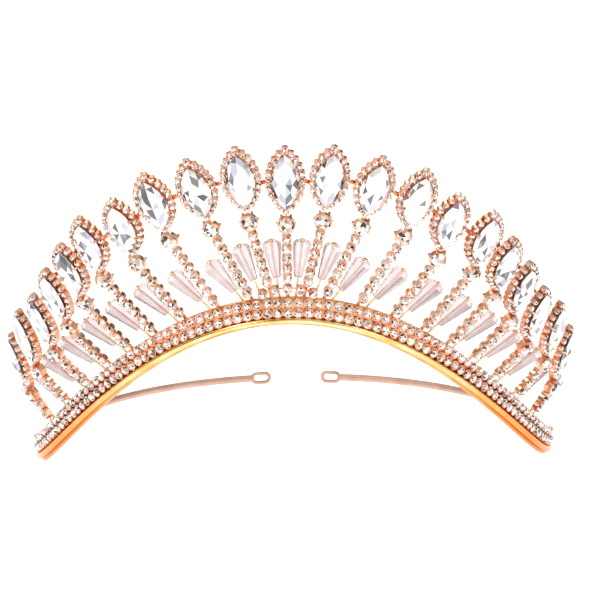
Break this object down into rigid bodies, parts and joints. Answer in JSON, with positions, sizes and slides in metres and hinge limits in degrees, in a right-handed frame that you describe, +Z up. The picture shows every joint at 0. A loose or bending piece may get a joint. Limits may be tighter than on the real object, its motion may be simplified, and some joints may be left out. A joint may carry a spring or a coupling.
{
  "type": "bridal tiara",
  "caption": "Bridal tiara: arched rhinestone band with a fan of marquise sprays and tapered crystals, on springy wire side arms ending in oval eyelets.",
  "frame": {"origin": "centre of the head circle that the band and the side arms follow, level with the lowest edge of the band, where the head sits", "axes": "+X to the wearer's left, -Y to the front of the tiara, +Z up towards the tips of the sprays"},
  "size_m": [0.1478, 0.1486, 0.0972],
  "materials": {
    "rose_gold": "polished rose-gold plating",
    "yellow_gold": "polished yellow-gold plating",
    "solder": "plated solder",
    "clear_stone": "faceted, clear",
    "marquise_stone": "faceted, clear",
    "pink_crystal": "faceted, faintly pink and clear"
  },
  "bodies": {
    "tiara": {"base_strip": "rose_gold", "lower_row_cups": "rose_gold", "upper_row_cups": "rose_gold", "crest_row_cups": "rose_gold", "arm_roots": "rose_gold", "spray_middle": "rose_gold", "spray_left_01": "rose_gold", "spray_left_02": "rose_gold", "spray_left_03": "rose_gold", "spray_left_04": "rose_gold", "spray_left_05": "rose_gold", "spray_left_06": "rose_gold", "spray_left_07": "rose_gold", "spray_left_08": "rose_gold", "spray_left_09": "rose_gold", "spray_left_10": "rose_gold", "spray_right_01": "rose_gold", "spray_right_02": "rose_gold", "spray_right_03": "rose_gold", "spray_right_04": "rose_gold", "spray_right_05": "rose_gold", "spray_right_06": "rose_gold", "spray_right_07": "rose_gold", "spray_right_08": "rose_gold", "spray_right_09": "rose_gold", "spray_right_10": "rose_gold", "rim_wire": "yellow_gold", "crystal_pins": "yellow_gold", "halo_solder_ties": "solder", "lower_row_stones": "clear_stone", "upper_row_stones": "clear_stone", "crest_row_stones": "clear_stone", "stem_stones": "clear_stone", "halo_stones": "clear_stone", "round_stones": "clear_stone", "marquise_middle": "marquise_stone", "marquise_left_01": "marquise_stone", "marquise_left_02": "marquise_stone", "marquise_left_03": "marquise_stone", "marquise_left_04": "marquise_stone", "marquise_left_05": "marquise_stone", "marquise_left_06": "marquise_stone", "marquise_left_07": "marquise_stone", "marquise_left_08": "marquise_stone", "marquise_left_09": "marquise_stone", "marquise_left_10": "marquise_stone", "marquise_right_01": "marquise_stone", "marquise_right_02": "marquise_stone", "marquise_right_03": "marquise_stone", "marquise_right_04": "marquise_stone", "marquise_right_05": "marquise_stone", "marquise_right_06": "marquise_stone", "marquise_right_07": "marquise_stone", "marquise_right_08": "marquise_stone", "marquise_right_09": "marquise_stone", "marquise_right_10": "marquise_stone", "tapered_crystals": "pink_crystal"},
    "left_arm": {"left_arm": "rose_gold"},
    "right_arm": {"right_arm": "rose_gold"}
  },
  "joints": [
    {"name": "left_arm_flex", "type": "hinge", "parent": "tiara", "child": "left_arm", "pos_m": [0.06603, -0.00216, 0.0037], "axis": [0, 0, -1], "range_deg": [-3, 10], "stiffness_Nm_per_rad": 1.5},
    {"name": "right_arm_flex", "type": "hinge", "parent": "tiara", "child": "right_arm", "pos_m": [-0.06603, -0.00216, 0.0037], "axis": [0, 0, 1], "range_deg": [-3, 10], "stiffness_Nm_per_rad": 1.5}
  ]
}
